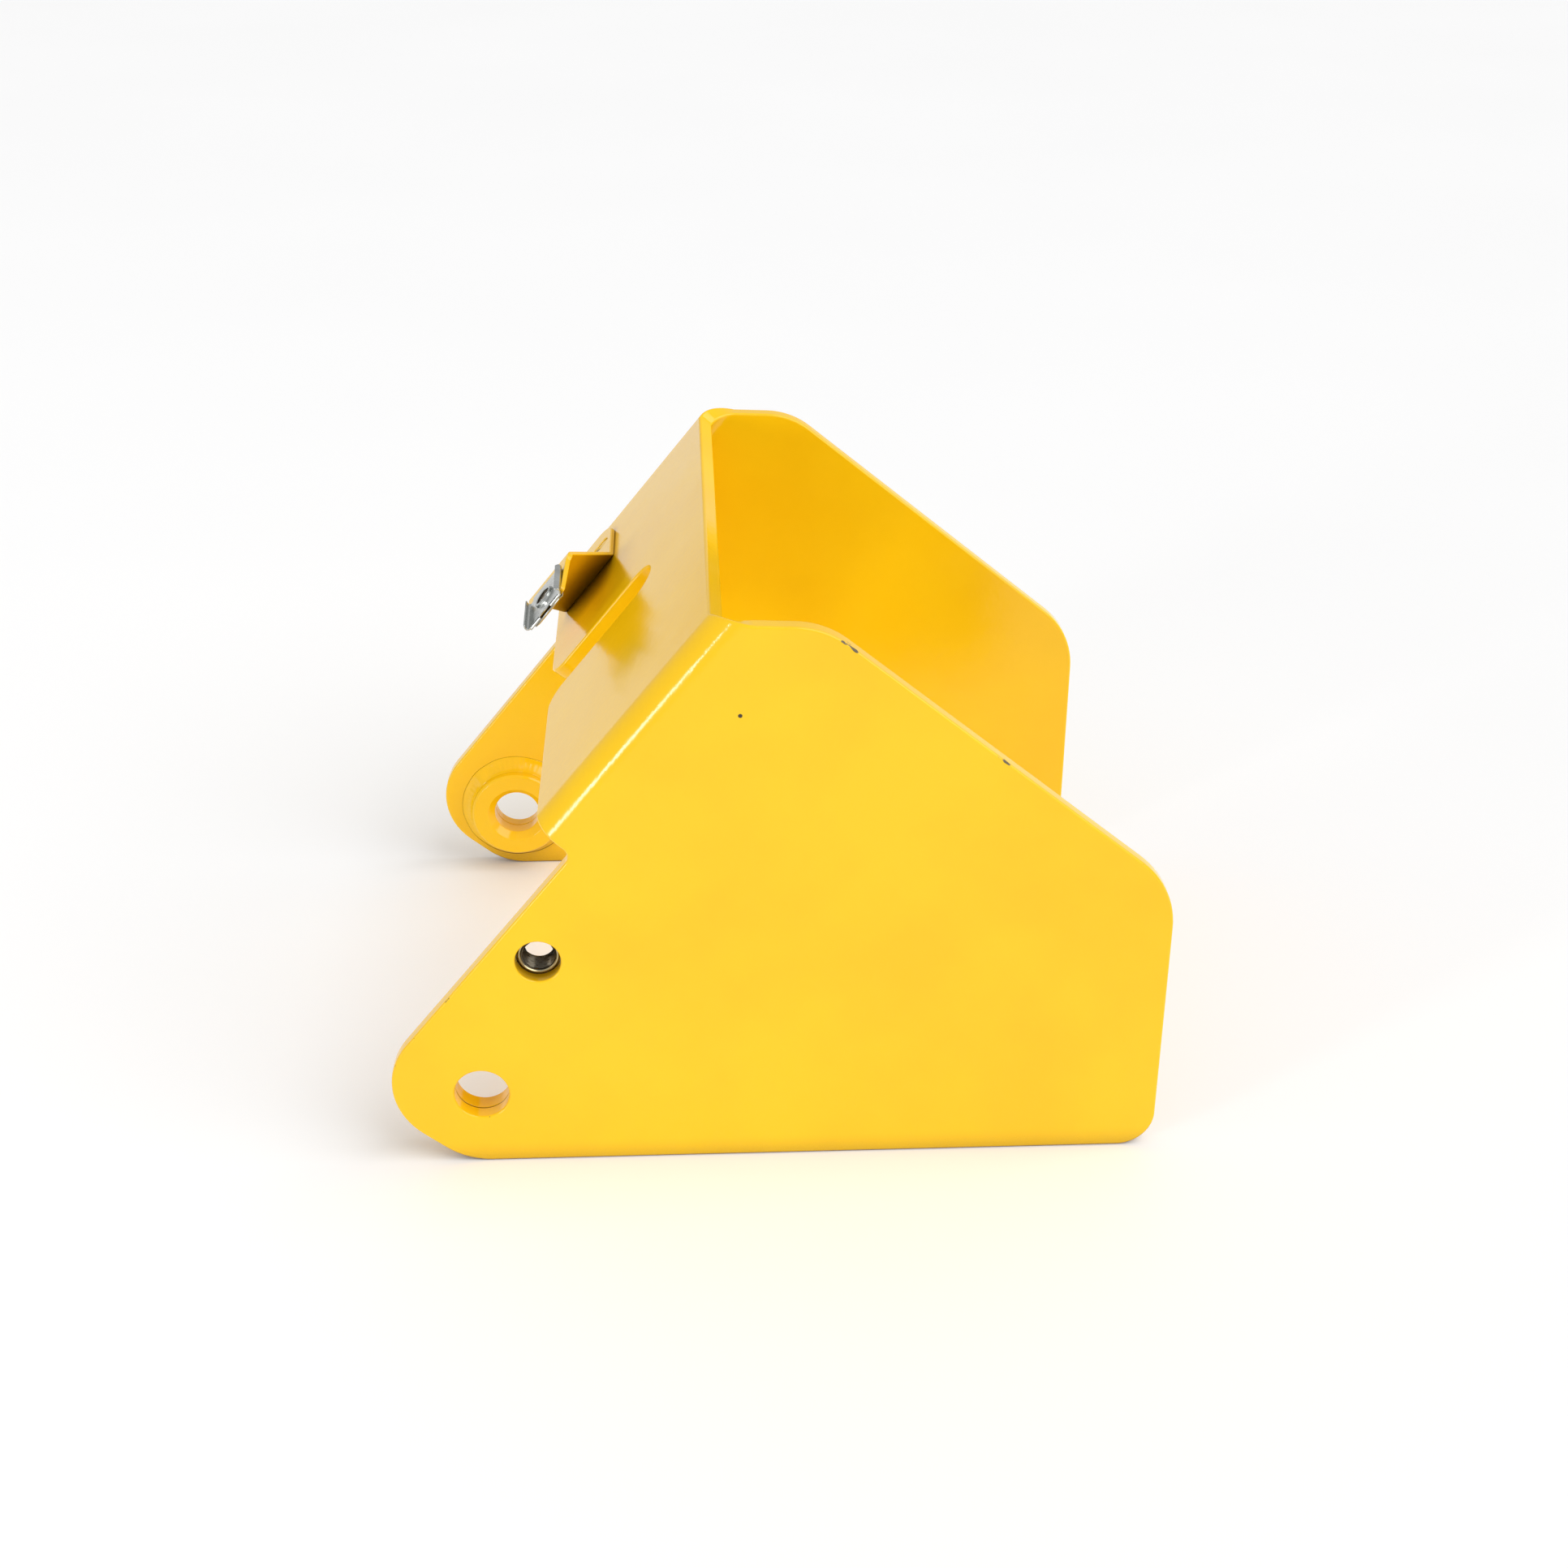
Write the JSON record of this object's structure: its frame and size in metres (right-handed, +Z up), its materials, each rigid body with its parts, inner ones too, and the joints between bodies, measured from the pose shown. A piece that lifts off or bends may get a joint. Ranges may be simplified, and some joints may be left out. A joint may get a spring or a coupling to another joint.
{
  "type": "pivoting guard hood",
  "caption": "Yellow powder-coated pivoting guard hood: two sheet cheeks joined by a raked slotted web, welded pivot bosses, a side weld nut, and a cranked bracket with a spring clip nut.",
  "frame": {"origin": "on the pivot axis, midway between the two cheeks", "axes": "+X from the pivot towards the tail edge, +Y from the near cheek to the far cheek along the pivot axis, +Z up"},
  "size_m": [0.2674, 0.22, 0.2034],
  "materials": {
    "yellow_coat": "glossy powder coat with light orange peel",
    "zinc_nut": "yellow zinc plate, dulled",
    "spring_steel": "plated spring strip"
  },
  "bodies": {
    "root": {"hood_shell": "yellow_coat", "near_pivot_boss": "yellow_coat", "far_pivot_boss": "yellow_coat", "near_boss_weld": "yellow_coat", "far_boss_weld": "yellow_coat", "side_weld_nut": "zinc_nut", "clip_bracket": "yellow_coat", "bracket_slot_weld": "yellow_coat", "clip_spring": "spring_steel"}
  },
  "joints": []
}
